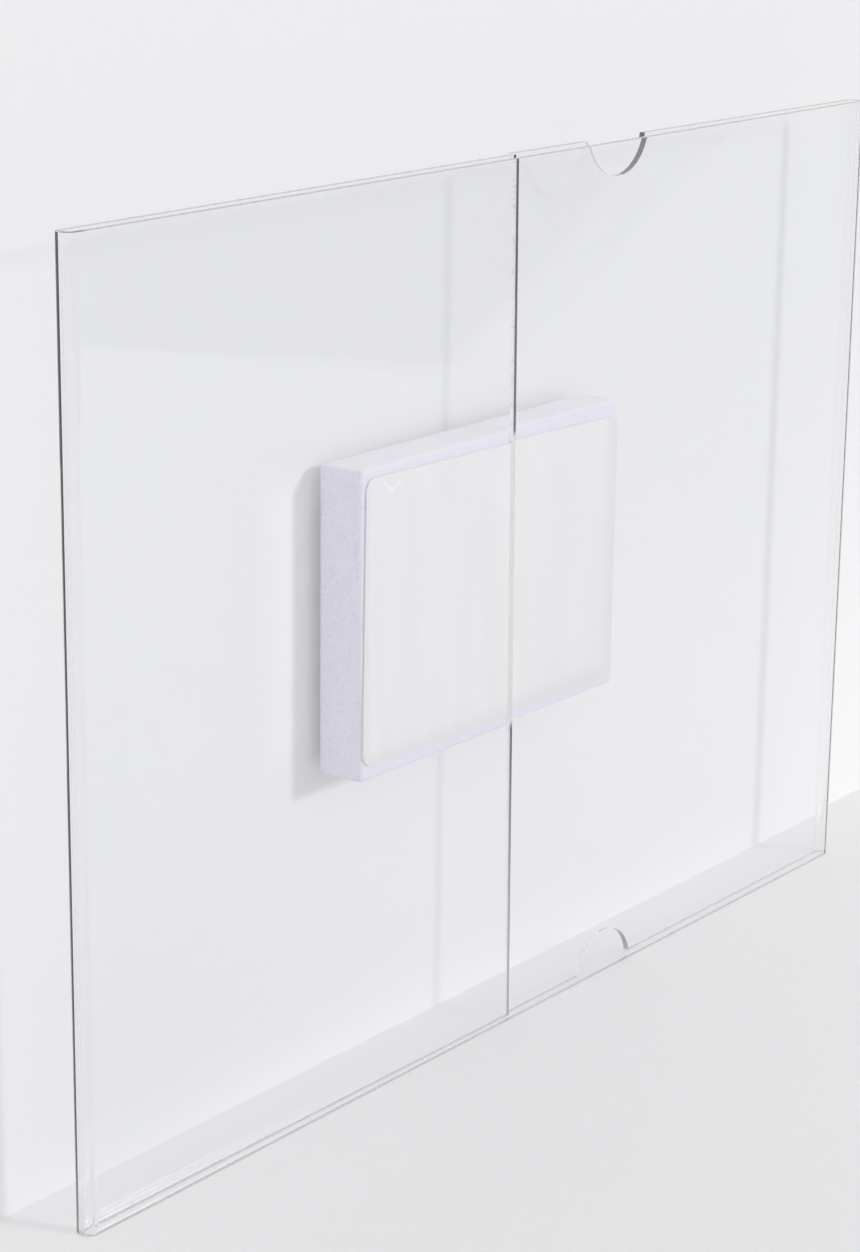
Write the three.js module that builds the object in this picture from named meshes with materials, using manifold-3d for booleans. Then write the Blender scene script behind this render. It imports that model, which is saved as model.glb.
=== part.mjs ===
// Clear picture sleeve on a wall pad. Millimetres, +X right, +Y towards the wall, +Z up.
// The origin is the middle of the wall side of the pad's tape, so the wall is the plane Y = 0.
import * as THREE from "three";
import { mergeVertices } from "three/addons/utils/BufferGeometryUtils.js";
import Module from "manifold-3d";

// Sleeve: one sheet folded at both sides, for a landscape A4 picture
const sleeveWidth = 303;
const sleeveHeight = 212;
const sheetThickness = 1.5;
const pocketGap = 2.4;
const seamGap = 0.8;

// How far each back flap's free end stands off the parallel, at the top and bottom. Plus is to the wall.
const leftLeanTop = 0.6;
const leftLeanBottom = -1.3;
const rightLeanTop = 2.4;
const rightLeanBottom = -0.4;

// Thumb notches: the same circle cut into the right flap's top and bottom edges
const notchRadius = 12.25;
const notchDepth = 9.2;
const notchFromSeam = 42;

// Foam pad, a little left of and above the middle of the sleeve, where it was stuck on
const padWidth = 102;
const padHeight = 73;
const padLeftOfSeam = 5.6;
const padAboveMiddle = 5.1;
const padThickness = 12;

// Adhesive sheet between the pad and the flaps
const adhesiveThickness = 0.3;
const adhesiveSideMargin = 1;
const adhesiveEndMargin = 3;
const adhesiveTiltDeg = 1.1;
const layerClearance = 0.15;

// Thicker adhesive tape between the pad and the wall, set in from the pad's edges
const tapeThickness = 3;
const tapeSideMargin = 6;
const tapeEndMargin = 6;

// Rounded corners of the adhesive sheet and the tape
const adhesiveCornerRadius = 3;

// Fineness of the facets
const foldSegments = 20;
const flapStrips = 8;
const heightStrips = 12;
const cornerSegments = 6;
const notchSegments = 72;

// Sizes that follow from the ones above
const foldRadius = pocketGap / 2 + sheetThickness;
const sleeveMiddleX = padLeftOfSeam;
const sleeveBottom = -padAboveMiddle - sleeveHeight / 2;
const sleeveTop = sleeveBottom + sleeveHeight;
const leftFoldX = sleeveMiddleX - sleeveWidth / 2 + foldRadius;
const rightFoldX = sleeveMiddleX + sleeveWidth / 2 - foldRadius;
const leftFlapEnd = sleeveMiddleX - seamGap / 2;
const rightFlapEnd = sleeveMiddleX + seamGap / 2;
const foamFrontGap = layerClearance + adhesiveThickness + layerClearance;
const wallStandoff = tapeThickness + padThickness + foamFrontGap;
const flapBackY = -wallStandoff;
const flapFrontY = flapBackY - sheetThickness;
const panelBackY = flapFrontY - pocketGap;
const panelFrontY = panelBackY - sheetThickness;
const foldMiddleY = (flapFrontY + panelBackY) / 2;

const wasm = await Module();
wasm.setup();

function solidOf(geometry) {
  const bare = geometry.clone();
  bare.deleteAttribute("normal");
  bare.deleteAttribute("uv");
  const merged = mergeVertices(bare);
  return new wasm.Manifold(new wasm.Mesh({
    numProp: 3,
    vertProperties: new Float32Array(merged.attributes.position.array),
    triVerts: new Uint32Array(merged.index.array),
  }));
}

function geometryOf(solid) {
  const mesh = solid.getMesh();
  const geometry = new THREE.BufferGeometry();
  geometry.setAttribute("position", new THREE.BufferAttribute(new Float32Array(mesh.vertProperties), 3));
  geometry.setIndex(new THREE.BufferAttribute(new Uint32Array(mesh.triVerts), 1));
  geometry.computeVertexNormals();
  return geometry;
}

// How far the back flaps stand off the parallel at one place: nothing at the folds, most at the seam
function flapLean(x, z) {
  const rise = THREE.MathUtils.clamp((z - sleeveBottom) / sleeveHeight, 0, 1);
  if (x < sleeveMiddleX) {
    const share = THREE.MathUtils.clamp((x - leftFoldX) / (leftFlapEnd - leftFoldX), 0, 1);
    return share * THREE.MathUtils.lerp(leftLeanBottom, leftLeanTop, rise);
  }
  const share = THREE.MathUtils.clamp((rightFoldX - x) / (rightFoldX - rightFlapEnd), 0, 1);
  return share * THREE.MathUtils.lerp(rightLeanBottom, rightLeanTop, rise);
}

// Moves each point that isLeaning picks to where the leaning flaps put it
function leanWithFlaps(geometry, isLeaning) {
  const position = geometry.attributes.position;
  for (let i = 0; i < position.count; i += 1) {
    if (isLeaning(position.getY(i))) {
      position.setY(i, position.getY(i) + flapLean(position.getX(i), position.getZ(i)));
    }
  }
  return geometry;
}

// A straight run of outline points in even strips, so that the run can lean and twist
function stripLine(shape, toX, toY) {
  const from = shape.currentPoint.clone();
  for (let i = 1; i <= flapStrips; i += 1) {
    const share = i / flapStrips;
    shape.lineTo(THREE.MathUtils.lerp(from.x, toX, share), THREE.MathUtils.lerp(from.y, toY, share));
  }
}

// The folded sheet seen from above: round the outside from the left flap's end, then back along the inside
function sleeveSection() {
  const shape = new THREE.Shape();
  const quarter = Math.PI / 2;
  const insideRadius = foldRadius - sheetThickness;
  shape.moveTo(leftFlapEnd, flapBackY);
  stripLine(shape, leftFoldX, flapBackY);
  shape.absarc(leftFoldX, foldMiddleY, foldRadius, quarter, 3 * quarter, false);
  shape.lineTo(rightFoldX, panelFrontY);
  shape.absarc(rightFoldX, foldMiddleY, foldRadius, -quarter, quarter, false);
  stripLine(shape, rightFlapEnd, flapBackY);
  shape.lineTo(rightFlapEnd, flapFrontY);
  stripLine(shape, rightFoldX, flapFrontY);
  shape.absarc(rightFoldX, foldMiddleY, insideRadius, quarter, -quarter, true);
  shape.lineTo(leftFoldX, panelBackY);
  shape.absarc(leftFoldX, foldMiddleY, insideRadius, 3 * quarter, quarter, true);
  stripLine(shape, leftFlapEnd, flapFrontY);
  return shape;
}

// An upright round cutter across the right flap, clear of the front panel
function notchCutter(middleZ) {
  const reach = sheetThickness + Math.abs(rightLeanTop) + Math.abs(rightLeanBottom) + pocketGap;
  const frontY = panelBackY + pocketGap / 4 + Math.min(flapLean(sleeveMiddleX + notchFromSeam, middleZ), 0);
  const depth = flapBackY + reach - frontY;
  const cutter = new THREE.CylinderGeometry(notchRadius, notchRadius, depth, notchSegments);
  cutter.translate(sleeveMiddleX + notchFromSeam, frontY + depth / 2, middleZ);
  return solidOf(cutter);
}

function makeSleeve() {
  const sheet = new THREE.ExtrudeGeometry(sleeveSection(), {
    depth: sleeveHeight,
    steps: heightStrips,
    curveSegments: foldSegments,
    bevelEnabled: false,
  });
  sheet.translate(0, 0, sleeveBottom);
  leanWithFlaps(sheet, (y) => y > foldMiddleY);
  const overEdge = notchRadius - notchDepth;
  const notched = solidOf(sheet)
    .subtract(notchCutter(sleeveTop + overEdge))
    .subtract(notchCutter(sleeveBottom - overEdge));
  const material = new THREE.MeshStandardMaterial({
    color: 0xe9ebf0,
    roughness: 0.05,
    metalness: 0,
    transparent: true,
    opacity: 0.3,
  });
  return namedMesh("sleeve", geometryOf(notched), material);
}

// A layer behind the flaps: its front follows them with a ramp across the seam, its back is given
function layerBehindFlaps(width, height, frontGap, backY, backLeans) {
  const frontY = flapBackY + frontGap;
  const shape = new THREE.Shape();
  shape.moveTo(-width / 2, frontY);
  stripLine(shape, leftFlapEnd, frontY);
  shape.lineTo(rightFlapEnd, frontY);
  stripLine(shape, width / 2, frontY);
  shape.lineTo(width / 2, backY);
  stripLine(shape, rightFlapEnd, backY);
  shape.lineTo(leftFlapEnd, backY);
  stripLine(shape, -width / 2, backY);
  const layer = new THREE.ExtrudeGeometry(shape, {
    depth: height,
    steps: heightStrips,
    bevelEnabled: false,
  });
  layer.translate(0, 0, -height / 2);
  return leanWithFlaps(layer, (y) => backLeans || y < (frontY + backY) / 2);
}

function roundedSheet(width, height, depth) {
  const shape = new THREE.Shape();
  const right = width / 2;
  const top = height / 2;
  const radius = adhesiveCornerRadius;
  const quarter = Math.PI / 2;
  shape.moveTo(-right + radius, -top);
  shape.lineTo(right - radius, -top);
  shape.absarc(right - radius, -top + radius, radius, -quarter, 0, false);
  shape.lineTo(right, top - radius);
  shape.absarc(right - radius, top - radius, radius, 0, quarter, false);
  shape.lineTo(-right + radius, top);
  shape.absarc(-right + radius, top - radius, radius, quarter, 2 * quarter, false);
  shape.lineTo(-right, -top + radius);
  shape.absarc(-right + radius, -top + radius, radius, 2 * quarter, 3 * quarter, false);
  const sheet = new THREE.ExtrudeGeometry(shape, {
    depth,
    curveSegments: cornerSegments,
    bevelEnabled: false,
  });
  sheet.rotateX(quarter);
  return sheet;
}

function makeFoamPad() {
  const foam = layerBehindFlaps(padWidth, padHeight, foamFrontGap, -tapeThickness, false);
  const material = new THREE.MeshStandardMaterial({ color: 0xe4e2ee, roughness: 0.9, metalness: 0 });
  return namedMesh("foam_pad", geometryOf(solidOf(foam)), material);
}

// The sheet that holds the flaps: a layer that follows them, trimmed to a slightly turned rounded outline
function makeFrontAdhesive() {
  const frontGap = layerClearance;
  const layer = layerBehindFlaps(padWidth, padHeight, frontGap, flapBackY + frontGap + adhesiveThickness, true);
  const width = padWidth - 2 * adhesiveSideMargin;
  const height = padHeight - 2 * adhesiveEndMargin;
  const outline = roundedSheet(width, height, 2 * wallStandoff);
  outline.rotateY(THREE.MathUtils.degToRad(adhesiveTiltDeg));
  const material = new THREE.MeshStandardMaterial({ color: 0xe2e3e4, roughness: 0.5, metalness: 0 });
  return namedMesh("front_adhesive", geometryOf(solidOf(layer).intersect(solidOf(outline))), material);
}

function makeWallAdhesive() {
  const width = padWidth - 2 * tapeSideMargin;
  const height = padHeight - 2 * tapeEndMargin;
  const tape = roundedSheet(width, height, tapeThickness);
  const material = new THREE.MeshStandardMaterial({ color: 0xe2e3e4, roughness: 0.5, metalness: 0 });
  return namedMesh("wall_adhesive", geometryOf(solidOf(tape)), material);
}

function namedMesh(name, geometry, material) {
  const mesh = new THREE.Mesh(geometry, material);
  mesh.name = name;
  return mesh;
}

const pictureSleeve = new THREE.Group();
pictureSleeve.add(makeSleeve());
pictureSleeve.add(makeFoamPad());
pictureSleeve.add(makeFrontAdhesive());
pictureSleeve.add(makeWallAdhesive());

export default pictureSleeve;
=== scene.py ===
import math
import bpy
from mathutils import Matrix, Vector, noise


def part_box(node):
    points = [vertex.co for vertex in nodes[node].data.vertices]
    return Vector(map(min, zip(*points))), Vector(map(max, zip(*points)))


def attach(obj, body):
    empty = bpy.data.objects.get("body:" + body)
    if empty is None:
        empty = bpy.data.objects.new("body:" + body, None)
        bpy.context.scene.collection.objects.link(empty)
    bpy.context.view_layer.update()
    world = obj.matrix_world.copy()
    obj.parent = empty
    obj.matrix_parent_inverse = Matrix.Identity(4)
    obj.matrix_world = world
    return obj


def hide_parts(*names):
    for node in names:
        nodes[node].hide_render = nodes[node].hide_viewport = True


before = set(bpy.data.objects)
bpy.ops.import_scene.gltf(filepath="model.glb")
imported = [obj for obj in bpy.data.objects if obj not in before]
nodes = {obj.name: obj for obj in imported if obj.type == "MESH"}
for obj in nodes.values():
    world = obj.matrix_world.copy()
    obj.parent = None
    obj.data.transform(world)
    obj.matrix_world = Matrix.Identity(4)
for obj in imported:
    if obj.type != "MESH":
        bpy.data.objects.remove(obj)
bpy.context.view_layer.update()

sleeveLow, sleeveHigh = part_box("sleeve")
padLow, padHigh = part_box("foam_pad")
sheetLow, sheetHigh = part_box("front_adhesive")
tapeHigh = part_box("wall_adhesive")[1]
seamX = (sleeveLow.x + sleeveHigh.x) / 2
mm = 0.001

print("frame loaded:", ", ".join(sorted(nodes)))


# camera, where the straight edges of the picture put it

cameraSettings = {
    "place": (-0.57159, -0.43527, 0.19438),
    "turnRight": 52.535,     # degrees from square on
    "lookDown": 16.133,
    "roll": 0.694,
    "lens": 89.18,           # millimetres, as the sensor is
    "sensor": 36.0,
    "nearest": 0.01,
    "furthest": 50,
}


def addCamera(s):
    data = bpy.data.cameras.new("viewCamera")
    data.sensor_width = s["sensor"]
    data.lens = s["lens"]
    data.clip_start = s["nearest"]
    data.clip_end = s["furthest"]
    camera = bpy.data.objects.new("viewCamera", data)
    turn = Matrix.Rotation(-math.radians(s["turnRight"]), 4, "Z")
    tip = Matrix.Rotation(math.radians(90 - s["lookDown"]), 4, "X")
    roll = Matrix.Rotation(math.radians(s["roll"]), 4, "Z")
    camera.matrix_world = Matrix.Translation(s["place"]) @ turn @ tip @ roll
    bpy.context.scene.collection.objects.link(camera)
    bpy.context.scene.camera = camera


addCamera(cameraSettings)


# shader sums: a wire is one socket, and arithmetic on wires adds Math nodes

class Wire:
    def __init__(self, graph, socket):
        self.graph = graph
        self.socket = socket

    def sum(self, operation, *values):
        return self.graph.node("ShaderNodeMath", {"operation": operation}, dict(enumerate(values)))

    def __add__(self, other):
        return self.sum("ADD", self, other)

    def __radd__(self, other):
        return self.sum("ADD", other, self)

    def __sub__(self, other):
        return self.sum("SUBTRACT", self, other)

    def __rsub__(self, other):
        return self.sum("SUBTRACT", other, self)

    def __mul__(self, other):
        return self.sum("MULTIPLY", self, other)

    def __rmul__(self, other):
        return self.sum("MULTIPLY", other, self)

    def __abs__(self):
        return self.sum("ABSOLUTE", self)

    def least(self, other):
        return self.sum("MINIMUM", self, other)

    def most(self, other):
        return self.sum("MAXIMUM", self, other)

    # 0 at low, 1 at high, smooth between; low may be above high
    def step(self, low, high):
        ends = {"Value": self, "From Min": low, "From Max": high}
        return self.graph.node("ShaderNodeMapRange", {"interpolation_type": "SMOOTHSTEP"}, ends)


class Graph:
    def __init__(self, tree):
        self.tree = tree
        tree.nodes.clear()

    # adds a node: its settings first, then the values or wires of its inputs; gives one output
    def node(self, kind, settings=None, inputs=None, output=0):
        made = self.tree.nodes.new(kind)
        for name, value in (settings or {}).items():
            setattr(made, name, value)
        for name, value in (inputs or {}).items():
            if isinstance(value, Wire):
                self.tree.links.new(value.socket, made.inputs[name])
            else:
                made.inputs[name].default_value = value
        return Wire(self, made.outputs[output])

    def place(self):
        return self.node("ShaderNodeTexCoord", output="Object")

    def axes(self, vector):
        return [self.node("ShaderNodeSeparateXYZ", None, {0: vector}, axis) for axis in range(3)]

    def path(self, name):
        return self.node("ShaderNodeLightPath", output=name)

    def backfacing(self):
        return self.node("ShaderNodeNewGeometry", output="Backfacing")

    def stretched(self, x, y, z):
        return self.node("ShaderNodeMapping", None, {"Vector": self.place(), "Scale": (x, y, z)})

    def noise(self, scale, detail=2.0, roughness=0.5, vector=None):
        inputs = {"Vector": vector or self.place(), "Scale": scale, "Detail": detail, "Roughness": roughness}
        return self.node("ShaderNodeTexNoise", None, inputs, "Fac")

    def cells(self, scale, vector=None):
        inputs = {"Vector": vector or self.place(), "Scale": scale}
        return self.node("ShaderNodeTexVoronoi", None, inputs, "Distance")

    def blend(self, share, first, second):
        inputs = {"Factor": share, 6: first, 7: second}
        return self.node("ShaderNodeMix", {"data_type": "RGBA"}, inputs, 2)

    def bump(self, height, strength, distance):
        inputs = {"Strength": strength, "Distance": distance, "Height": height}
        return self.node("ShaderNodeBump", None, inputs, "Normal")

    def mix(self, share, first, second):
        return self.node("ShaderNodeMixShader", None, {0: share, 1: first, 2: second})

    def finish(self, shader, kind="ShaderNodeOutputMaterial"):
        made = self.tree.nodes.new(kind)
        self.tree.links.new(shader.socket, made.inputs["Surface"])


def newMaterial(name):
    material = bpy.data.materials.new(name)
    material.use_nodes = True
    return material, Graph(material.node_tree)


# materials: their scales count the marks, pores or grains in a metre

# the clear sheet's flat faces and its folds
clearSheet = {
    "tint": (0.995, 0.996, 0.998, 1),
    "refraction": 1.5,
    "faceShade": (0.997, 0.997, 0.998, 1),   # lamp light that gets past one face
    "evenShade": (0.997, 0.997, 0.998, 1),   # room light that gets past one face
    "foldTint": (0.985, 0.986, 0.99, 1),
    "foldRefraction": 1.8,
    "foldShade": (0.60, 0.60, 0.615, 1),     # lamp light that gets past one face of a fold
}


# lamps and room light go straight through, so the sheet shades the wall as lightly as a real one
def letLightThrough(g, sheet, lampShade, evenShade):
    lamps = g.node("ShaderNodeBsdfTransparent", None, {"Color": lampShade})
    room = g.node("ShaderNodeBsdfTransparent", None, {"Color": evenShade})
    seen = g.mix(g.path("Is Diffuse Ray"), sheet, room)
    return g.mix(g.path("Is Shadow Ray"), seen, lamps)


def clearMaterial(name, tint, refraction, shade):
    material, g = newMaterial(name)
    sheet = g.node("ShaderNodeBsdfGlass", None, {"Color": tint, "Roughness": 0.0, "IOR": refraction})
    g.finish(letLightThrough(g, sheet, shade, clearSheet["evenShade"]))
    return material


markDepth = 0.1 * mm         # of the fine marks on every cut or sawn edge


# an edge that lets part of the light through and is seen for the rest
def edgeShader(g, s, tint, marks):
    return g.node("ShaderNodeBsdfPrincipled", None, {
        "Base Color": tint,
        "Roughness": s["roughness"],
        "IOR": clearSheet["refraction"],
        "Transmission Weight": s["clear"],
        "Normal": g.bump(marks, s["markBump"], markDepth),
    })


# the sheet's plain cut edges, along the top and the bottom; their tints are painted light and shade, set by how
# the light falls on each
cutEdge = {
    "tint": (0.80, 0.80, 0.82, 1),           # the front panel's top edge
    "rearLitTint": (0.96, 0.96, 0.975, 1),      # painted light: the back flaps' top edges, painted lighter than the front panel's
    "paintedLowTint": (0.34, 0.335, 0.37, 1),       # painted shade: bottom edges, painted dark
    "foldEndShadeTint": (0.10, 0.093, 0.14, 1),       # painted shade: the front panel's top edge near the left fold, painted nearly black
    "endLength": (6.5 * mm, 3.5 * mm),       # from the left side: where that starts, and where it is full
    "panelDepth": (2 * mm, 1.5 * mm),        # from the front: past the front panel, and still in it
    "foldDepth": (3.4 * mm, 2.6 * mm),       # from the front: past the fold's front half, and still in it
    "clear": 0.45,
    "roughness": 0.25,
    "shade": (0.60, 0.60, 0.62, 1),
    "marks": 1500.0,
    "markBump": 0.2,
}


def cutEdgeMaterial(s):
    material, g = newMaterial("clearCutEdge")
    x, y, z = g.axes(g.place())
    marks = g.noise(s["marks"], 2.0, 0.6, g.stretched(1, 0.3, 1))
    nearFold = x.step(*[sleeveLow.x + length for length in s["endLength"]])
    inPanel = y.step(*[sleeveLow.y + depth for depth in s["panelDepth"]])
    inFoldFront = y.step(*[sleeveLow.y + depth for depth in s["foldDepth"]])
    # painted light and shade: lighter on the back flaps, nearly black near the left fold, dark along the bottom
    tint = g.blend(inPanel, s["rearLitTint"], s["tint"])
    tint = g.blend(nearFold * inFoldFront, tint, s["foldEndShadeTint"])
    tint = g.blend(z.step(0, -mm), tint, s["paintedLowTint"])
    g.finish(letLightThrough(g, edgeShader(g, s, tint, marks), s["shade"], s["shade"]))
    return material


# the walls of the two thumb notches: one cut, painted dark in the top notch as painted shade and pale in the
# bottom one as painted light
notchEdge = {
    "tint": (0.45, 0.435, 0.55, 1),          # painted shade: the top notch's wall, painted dark
    "paintedLowTint": (0.92, 0.905, 0.98, 1),       # painted light: the bottom notch's wall, painted pale
    "scratch": (0.56, 0.55, 0.64, 1),
    "scratched": 0.3,                        # how much the scratches show
    "clear": 0.6,
    "roughness": 0.12,
    "shade": (0.40, 0.40, 0.42, 1),
    "marks": 1800.0,
    "markBump": 0.1,
}


def notchEdgeMaterial(s):
    material, g = newMaterial("clearNotchEdge")
    marks = g.noise(s["marks"], 1.0, 0.5, g.stretched(0.3, 1, 0.3))
    z = g.axes(g.place())[2]
    # painted shade in the top notch, painted light in the bottom one
    tint = g.blend(z.step(0, -mm), s["tint"], s["paintedLowTint"])
    tint = g.blend(marks.step(0.4, 0.7) * s["scratched"], tint, s["scratch"])
    g.finish(letLightThrough(g, edgeShader(g, s, tint, marks), s["shade"], s["shade"]))
    return material


# the two flaps' ends, which face each other across the seam
seamEdge = {
    "tint": (0.95, 0.945, 0.985, 1),         # the right flap's end, sawn and pale
    "burr": (0.74, 0.73, 0.80, 1),
    "dark": (0.035, 0.033, 0.045, 1),        # painted shade: the left flap's end, seen from inside the sheet, painted nearly black
    "darkBurr": (0.16, 0.155, 0.19, 1),
    "lowDark": (0.42, 0.415, 0.44, 1),       # the same painted shade, lighter near the bottom
    "lowFrom": -30 * mm,                     # where that starts
    "lowFull": 10 * mm,                      # where it is full, above the bottom
    "padLitTint": (0.93, 0.915, 0.84, 1),          # painted light: the seam's ends painted paler and yellower where the pad sits behind them
    "padLitShare": 0.9,                            # how much of that painted light shows
    "glow": 0.12,                            # painted light: a faint glow standing in for light that the sheet carries to its sawn ends
    "roughness": 0.6,
    "shine": 0.05,
    "shade": (0.05, 0.05, 0.06, 1),
    "marks": 1300.0,
    "markBump": 0.3,
}


def seamEdgeMaterial(s, sawn):
    material, g = newMaterial("clearSeamSawn" if sawn else "clearSeamEdge")
    z = g.axes(g.place())[2]
    overPad = abs(z).step(padHigh.z + 0.5 * mm, padHigh.z - 2 * mm)
    marks = g.noise(s["marks"], 2.0, 0.6, g.stretched(1, 0.4, 1))
    if sawn:
        tint = g.blend(marks.step(0.5, 0.7), s["tint"], s["burr"])
    else:
        # painted shade: the left flap's end, nearly black, lighter near the bottom
        tint = g.blend(marks.step(0.55, 0.75), s["dark"], s["darkBurr"])
        tint = g.blend(z.step(s["lowFrom"], sleeveLow.z + s["lowFull"]), tint, s["lowDark"])
    # painted light: paler and yellower where the pad is behind the seam
    tint = g.blend(overPad * s["padLitShare"], tint, s["padLitTint"])
    # the emission is painted light, a faint glow on the flap's end
    sheet = g.node("ShaderNodeBsdfPrincipled", None, {
        "Base Color": tint,
        "Emission Color": tint,
        "Emission Strength": s["glow"],
        "Roughness": s["roughness"],
        "Specular IOR Level": s["shine"],
        "Normal": g.bump(marks, s["markBump"], markDepth),
    })
    g.finish(letLightThrough(g, sheet, s["shade"], clearSheet["evenShade"]))
    material.cycles.emission_sampling = "NONE"   # the glow is too faint to count as a lamp
    return material


foam = {
    "colour": (0.845, 0.82, 0.94, 1),
    "top": (0.90, 0.895, 0.945, 1),          # painted light: the upper side, painted less tinted, as the light falls on it
    "paleBack": (0.95, 0.945, 0.965, 1),         # painted light: the wall side, painted paler to throw more light into the shaded recess behind the pad
    "pit": (0.66, 0.64, 0.79, 1),
    "pitted": 0.2,                           # how much the pits show
    "sidesPitted": 0.2,                      # added on the cut left and right sides
    "speck": (0.95, 0.945, 0.98, 1),
    "specked": 0.35,                         # how much the specks show
    "roughness": 0.85,
    "shine": 0.2,
    "pores": 900.0,
    "drift": 240.0,
    "grain": 1300.0,
    "specks": 800.0,
    "bump": 0.3,
    "poreDepth": 0.3 * mm,
}


def foamMaterial(s):
    material, g = newMaterial("padFoam")
    x, y, z = g.axes(g.node("ShaderNodeTexCoord", output="Normal"))
    pores = g.cells(s["pores"])
    drift = g.noise(s["drift"], 3.0, 0.6)
    grain = g.noise(s["grain"], 2.0)
    # painted light on the upper side
    colour = g.blend(z.step(0.3, 0.8), s["colour"], s["top"])
    # painted light: the wall side is paler, to lighten the shade in the recess behind the pad
    colour = g.blend(y.step(0.5, 0.9), colour, s["paleBack"])
    onSide = abs(x).step(0.3, 0.8)
    pits = (drift * 0.25 + grain * 0.75).step(0.54, 0.36) * (s["pitted"] + onSide * s["sidesPitted"])
    colour = g.blend(pits, colour, s["pit"])
    specks = g.noise(s["specks"], 1.0, 0.5, g.stretched(1, 1, 0.8)).step(0.70, 0.76)
    colour = g.blend(specks * s["specked"], colour, s["speck"])
    surface = g.node("ShaderNodeBsdfPrincipled", None, {
        "Base Color": colour,
        "Roughness": s["roughness"],
        "Specular IOR Level": s["shine"],
        "Normal": g.bump(pores * 0.5 + grain * 0.5, s["bump"], s["poreDepth"]),
    })
    g.finish(surface)
    return material


adhesive = {
    "colour": (0.865, 0.865, 0.87, 1),
    "pale": (0.90, 0.90, 0.91, 1),
    "rim": (0.74, 0.74, 0.755, 1),
    "rimmed": 0.55,                          # how much the rim shows
    "rimRight": 7 * mm,                      # the rim's widths
    "rimLow": 6 * mm,
    "rimLeft": 3 * mm,
    "rimFull": 1 * mm,                       # where the rim is full, from the sheet's edge
    "streakX": 21.5 * mm,                    # a thin pale streak, left of the middle
    "streakLean": 0.06,
    "streaked": 0.35,                        # how much the streak shows
    "roughness": 0.45,
    "drift": 150.0,
    "grain": 900.0,
    "bump": 0.2,
    "bumpDepth": 0.2 * mm,
}


def adhesiveMaterial(s):
    material, g = newMaterial("adhesiveSheet")
    x, _, z = g.axes(g.place())
    drift = g.noise(s["drift"], 2.0, 0.5, g.stretched(1, 1, 0.12))
    grain = g.noise(s["grain"], 2.0)
    colour = g.blend((drift * 0.6 + grain * 0.4).step(0.35, 0.68), s["colour"], s["pale"])
    streak = abs(x + s["streakX"] + z * s["streakLean"]).step(0.9 * mm, 0.2 * mm)
    colour = g.blend(streak * s["streaked"], colour, s["pale"])
    right = x.step(sheetHigh.x - s["rimRight"], sheetHigh.x - s["rimFull"])
    low = z.step(sheetLow.z + s["rimLow"], sheetLow.z + s["rimFull"])
    left = x.step(sheetLow.x + s["rimLeft"], sheetLow.x + s["rimFull"])
    colour = g.blend(right.most(low).most(left * 0.8) * s["rimmed"], colour, s["rim"])
    surface = g.node("ShaderNodeBsdfPrincipled", None, {
        "Base Color": colour,
        "Roughness": s["roughness"],
        "Normal": g.bump(drift * 0.7 + grain * 0.3, s["bump"], s["bumpDepth"]),
    })
    g.finish(surface)
    return material


def giveMaterials(piece, materials):
    piece.data.materials.clear()
    for material in materials:
        piece.data.materials.append(material)


print("materials ready")


# pieces: each starts as a merged copy of its CAD node, gets its finish, and replaces the node

def selectOnly(piece):
    bpy.ops.object.select_all(action="DESELECT")
    piece.select_set(True)
    bpy.context.view_layer.objects.active = piece


def mergedCopy(node, name):
    piece = nodes[node].copy()
    piece.data = piece.data.copy()
    piece.name = name
    bpy.context.scene.collection.objects.link(piece)
    selectOnly(piece)
    bpy.ops.object.mode_set(mode="EDIT")
    bpy.ops.mesh.select_all(action="SELECT")
    bpy.ops.mesh.remove_doubles(threshold=0.001 * mm)
    bpy.ops.mesh.dissolve_limited(angle_limit=math.radians(0.05))
    bpy.ops.mesh.normals_make_consistent(inside=False)
    bpy.ops.object.mode_set(mode="OBJECT")
    bpy.ops.mesh.customdata_custom_splitnormals_clear()
    return piece


def applyModifier(piece, kind, **settings):
    selectOnly(piece)
    modifier = piece.modifiers.new("step", kind)
    for name, value in settings.items():
        setattr(modifier, name, value)
    bpy.ops.object.modifier_apply(modifier=modifier.name)


def smoothByAngle(piece, degrees):
    selectOnly(piece)
    bpy.ops.object.shade_smooth_by_angle(angle=math.radians(degrees))


# the sleeve's materials, by their places in its list
flatFace, foldFace, cutFace, notchFace, seamFace, sawnFace = range(6)

sleeve = {
    "foldDepth": 2.75 * mm,      # how far the folds reach in from the left and right sides
    "seamReach": 2 * mm,
    "smoothAngle": 28,
}


def sleeveFaceKind(s, face):
    side = min(face.center.x - sleeveLow.x, sleeveHigh.x - face.center.x)
    acrossWall = abs(face.normal.y)
    if abs(face.normal.z) > 0.99:
        return cutFace
    if side < s["foldDepth"]:
        return foldFace if acrossWall < 0.995 and abs(face.normal.z) < 0.5 else flatFace
    if side > s["foldDepth"] and acrossWall < 0.8:
        if abs(face.center.x - seamX) > s["seamReach"]:
            return notchFace
        return sawnFace if face.normal.x < 0 else seamFace
    return flatFace


def addSleeve(s):
    piece = mergedCopy("sleeve", "clear_sleeve")
    giveMaterials(piece, [
        clearMaterial("clearFace", clearSheet["tint"], clearSheet["refraction"], clearSheet["faceShade"]),
        clearMaterial("clearFold", clearSheet["foldTint"], clearSheet["foldRefraction"], clearSheet["foldShade"]),
        cutEdgeMaterial(cutEdge),
        notchEdgeMaterial(notchEdge),
        seamEdgeMaterial(seamEdge, False),
        seamEdgeMaterial(seamEdge, True),
    ])
    for face in piece.data.polygons:
        face.material_index = sleeveFaceKind(s, face)
    smoothByAngle(piece, s["smoothAngle"])
    for face in piece.data.polygons:
        if face.material_index == flatFace:
            face.use_smooth = False
    return piece


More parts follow.
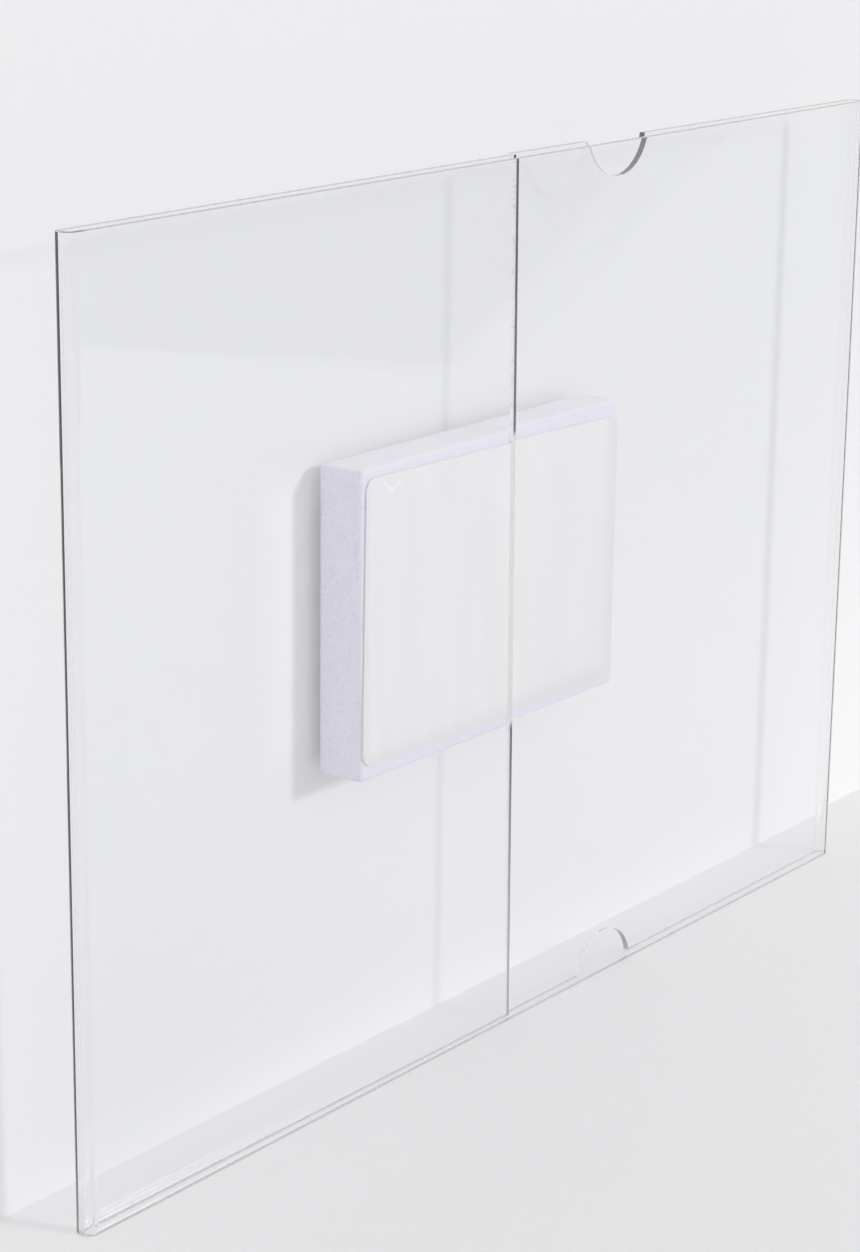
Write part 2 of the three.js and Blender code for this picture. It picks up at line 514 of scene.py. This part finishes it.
pad = {
    "grain": 0.8 * mm,           # size of the mesh's faces
    "smoothing": 2,
    "wave": 0.16 * mm,
    "waveLength": 22 * mm,
    "rough": 0.05 * mm,
    "roughLength": 2.2 * mm,
    "frontKept": 1.2 * mm,       # depth at the front and at the back that stays as it is
    "backKept": 0.6 * mm,
    "smoothAngle": 60,
}


def addPad(s):
    piece = mergedCopy("foam_pad", "foam_block")
    applyModifier(piece, "REMESH", mode="VOXEL", voxel_size=s["grain"])
    applyModifier(piece, "SMOOTH", iterations=s["smoothing"], factor=0.5)
    for vertex in piece.data.vertices:
        place = vertex.co.copy()
        push = s["wave"] * noise.noise(place / s["waveLength"])
        push += s["rough"] * noise.noise(place / s["roughLength"])
        if padLow.y + s["frontKept"] < place.y < padHigh.y - s["backKept"]:
            inward = Vector((-place.x / abs(padLow.x), 0, -place.z / padHigh.z))
            vertex.co += inward * (push + s["wave"] * 0.5)
    giveMaterials(piece, [foamMaterial(foam)])
    smoothByAngle(piece, s["smoothAngle"])
    return piece


# the sheet has a small raised crease in the shape of a V near its upper left corner
frontSheet = {
    "smoothAngle": 30,
    "creaseTip": (-40.4 * mm, 30.4 * mm),
    "creaseEnds": [(-43.4 * mm, 32.9 * mm), (-37.2 * mm, 32.3 * mm)],
    "creaseWidth": 0.8 * mm,
    "creaseProud": 0.05 * mm,
    "creaseColour": (0.95, 0.95, 0.96, 1),
}


def addCreaseArm(sheet, s, end, material):
    tip = Vector((s["creaseTip"][0], 0, s["creaseTip"][1]))
    far = Vector((end[0], 0, end[1]))
    middle = (tip + far) / 2
    place = sheet.ray_cast((middle.x, sleeveLow.y, middle.z), (0, 1, 0))[1]    # on the sheet's front
    arm = far - tip
    turn = -math.atan2(arm.z, arm.x)
    width = s["creaseWidth"]
    proud = s["creaseProud"]
    centre = (middle.x, place.y - proud / 2, middle.z)
    bpy.ops.object.select_all(action="DESELECT")
    bpy.ops.mesh.primitive_cube_add(size=1, location=centre, rotation=(0, turn, 0))
    piece = bpy.context.object
    piece.scale = (arm.length + width * 0.6, proud, width)
    bpy.ops.object.transform_apply(location=True, rotation=True, scale=True)
    applyModifier(piece, "BEVEL", width=width * 0.3, segments=3, limit_method="ANGLE",
                  angle_limit=math.radians(30), affect="EDGES")
    giveMaterials(piece, [material])
    return piece


def addFrontSheet(s):
    piece = mergedCopy("front_adhesive", "front_adhesive_sheet")
    giveMaterials(piece, [adhesiveMaterial(adhesive)])
    smoothByAngle(piece, s["smoothAngle"])
    creased = adhesiveMaterial(dict(adhesive, colour=s["creaseColour"], pale=s["creaseColour"]))
    arms = [addCreaseArm(piece, s, end, creased) for end in s["creaseEnds"]]
    selectOnly(piece)
    for arm in arms:
        arm.select_set(True)
    bpy.ops.object.join()
    return piece


tape = {
    "rounding": 0.25 * mm,
    "smoothAngle": 30,
}


def addWallTape(s):
    piece = mergedCopy("wall_adhesive", "wall_tape")
    applyModifier(piece, "BEVEL", width=s["rounding"], segments=2, limit_method="ANGLE",
                  angle_limit=math.radians(40))
    giveMaterials(piece, [adhesiveMaterial(adhesive)])
    smoothByAngle(piece, s["smoothAngle"])
    return piece


def finishPiece(piece, node):
    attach(piece, "root")
    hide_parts(node)


finishPiece(addSleeve(sleeve), "sleeve")
print("sleeve made")
foamBlock = addPad(pad)
finishPiece(foamBlock, "foam_pad")
finishPiece(addFrontSheet(frontSheet), "front_adhesive")
finishPiece(addWallTape(tape), "wall_adhesive")
print("pad and adhesives made")


# stage: a pale wall just behind the tape and a pale floor just under the sleeve

stage = {
    "reach": 4.0,
    "wallGap": 0.1 * mm,
    "floorGap": 0.15 * mm,
    "roughness": 0.9,
    "shine": 0.1,
    "specks": 260.0,
    "speckShade": 0.985,
    "wallColour": (0.878, 0.88, 0.89, 1),
    "wallLitLow": (0.95, 0.95, 0.955, 1),       # painted light: the wall painted brighter near the floor, between these heights and widths
    "lowZ": (0.06, -0.11),
    "lowX": (-0.16, 0.02),
    "wallLitNearPad": (0.985, 0.985, 0.985, 1),    # painted light: the wall painted paler close by the pad's left side, against the pad's shade
    "floorColour": (0.915, 0.915, 0.92, 1),
    "floorShadedNear": (0.885, 0.885, 0.89, 1),    # painted shade: the floor painted darker near the camera, between these widths and depths
    "nearX": (0.08, -0.12),
    "nearY": (-0.03, -0.08),
    "mirroredCorner": (0.648, -0.529),       # where the room's darker part starts in the sleeve's reflection
    "mirroredTurn": -27.5,
    "mirroredBlur": 0.012,
    "mirroredShade": 0.60,
}


def speckled(g, s, colour):
    dimmed = [s["speckShade"] * part for part in colour[:3]] + [1]
    return g.blend(g.noise(s["specks"], 1.0), dimmed, colour)


def stageFace(g, s, colour):
    return g.node("ShaderNodeBsdfPrincipled", None, {
        "Base Color": colour,
        "Roughness": s["roughness"],
        "Specular IOR Level": s["shine"],
    })


def stageWallMaterial(s):
    material, g = newMaterial("stageWall")
    x, _, z = g.axes(g.node("ShaderNodeNewGeometry", output="Position"))
    colour = speckled(g, s, s["wallColour"])
    # painted light: brighter near the floor
    colour = g.blend(z.step(*s["lowZ"]) * x.step(*s["lowX"]), colour, s["wallLitLow"])
    # painted light: paler beside the pad's left side, where its shade falls
    beside = x.step(padLow.x - 20 * mm, padLow.x - 4 * mm) * x.step(0, -20 * mm)
    level = abs(z).step(padHigh.z + 4 * mm, padHigh.z - 12 * mm)
    colour = g.blend(beside * level, colour, s["wallLitNearPad"])
    # open behind the tape, so that the tape is lit when it is seen from behind
    inTapeWidth = abs(x).step(tapeHigh.x - mm, tapeHigh.x - 1.2 * mm)
    inTapeHeight = abs(z).step(tapeHigh.z - mm, tapeHigh.z - 1.2 * mm)
    unseen = g.backfacing().most(inTapeWidth * inTapeHeight)
    g.finish(g.mix(unseen, stageFace(g, s, colour), g.node("ShaderNodeBsdfTransparent")))
    return material


def stageFloorMaterial(s):
    material, g = newMaterial("stageFloor")
    x, y, _ = g.axes(g.node("ShaderNodeNewGeometry", output="Position"))
    colour = speckled(g, s, s["floorColour"])
    # painted shade: darker near the camera
    colour = g.blend(x.step(*s["nearX"]) * y.step(*s["nearY"]), colour, s["floorShadedNear"])
    turn = math.radians(s["mirroredTurn"])
    fromX = x - s["mirroredCorner"][0]
    fromY = y - s["mirroredCorner"][1]
    along = fromX * math.cos(turn) + fromY * math.sin(turn)
    across = fromX * math.sin(turn) - fromY * math.cos(turn)
    blur = s["mirroredBlur"]
    # glass that light goes through counts as a glossy ray too, but adds no glossy depth
    inMirror = g.path("Is Glossy Ray") * g.path("Glossy Depth").least(1)
    dark = along.step(-blur, blur) * across.step(-blur, blur) * inMirror
    shade = s["mirroredShade"]
    card = g.node("ShaderNodeEmission", None, {"Color": (shade, shade, shade, 1), "Strength": 1.0})
    face = g.mix(dark, stageFace(g, s, colour), card)
    g.finish(g.mix(g.backfacing(), face, g.node("ShaderNodeBsdfTransparent")))
    material.cycles.emission_sampling = "NONE"   # only the reflection sees the card
    return material


def addStage(s):
    reach = s["reach"]
    floorZ = sleeveLow.z - s["floorGap"]
    bpy.ops.object.select_all(action="DESELECT")
    bpy.ops.mesh.primitive_plane_add(size=2 * reach, location=(0, s["wallGap"] - reach, floorZ))
    floor = bpy.context.object
    floor.name = "stageFloor"
    giveMaterials(floor, [stageFloorMaterial(s)])
    upright = (math.radians(90), 0, 0)
    bpy.ops.object.select_all(action="DESELECT")
    bpy.ops.mesh.primitive_plane_add(size=2 * reach, location=(0, s["wallGap"], floorZ + reach), rotation=upright)
    wall = bpy.context.object
    wall.name = "stageWall"
    giveMaterials(wall, [stageWallMaterial(s)])


addStage(stage)


# light: even light from all round, and one soft lamp from the right and above

light = {
    "ambient": 0.735,
    "ambientColour": (1.0, 1.0, 1.0, 1),
    "background": (0.86, 0.862, 0.87, 1),
    "lampTravel": (-0.342, 0.877, -0.36),
    "lampAngle": 9.0,
    "lampPower": 0.82,
}


def addLight(s):
    world = bpy.data.worlds.new("softRoom")
    bpy.context.scene.world = world
    world.use_nodes = True
    g = Graph(world.node_tree)
    seen = g.path("Is Camera Ray").most(g.path("Is Glossy Ray")).most(g.path("Is Transmission Ray"))
    even = g.node("ShaderNodeBackground", None, {0: s["ambientColour"], 1: s["ambient"]})
    shown = g.node("ShaderNodeBackground", None, {0: s["background"], 1: 1.0})
    g.finish(g.mix(seen, even, shown), "ShaderNodeOutputWorld")
    lamp = bpy.data.lights.new("softLamp", "SUN")
    lamp.energy = s["lampPower"]
    lamp.angle = math.radians(s["lampAngle"])
    holder = bpy.data.objects.new("softLamp", lamp)
    holder.rotation_mode = "QUATERNION"
    holder.rotation_quaternion = Vector(s["lampTravel"]).to_track_quat("-Z", "Y")
    bpy.context.scene.collection.objects.link(holder)


addLight(light)
bpy.context.scene.view_settings.view_transform = "Standard"
print("stage and light set")
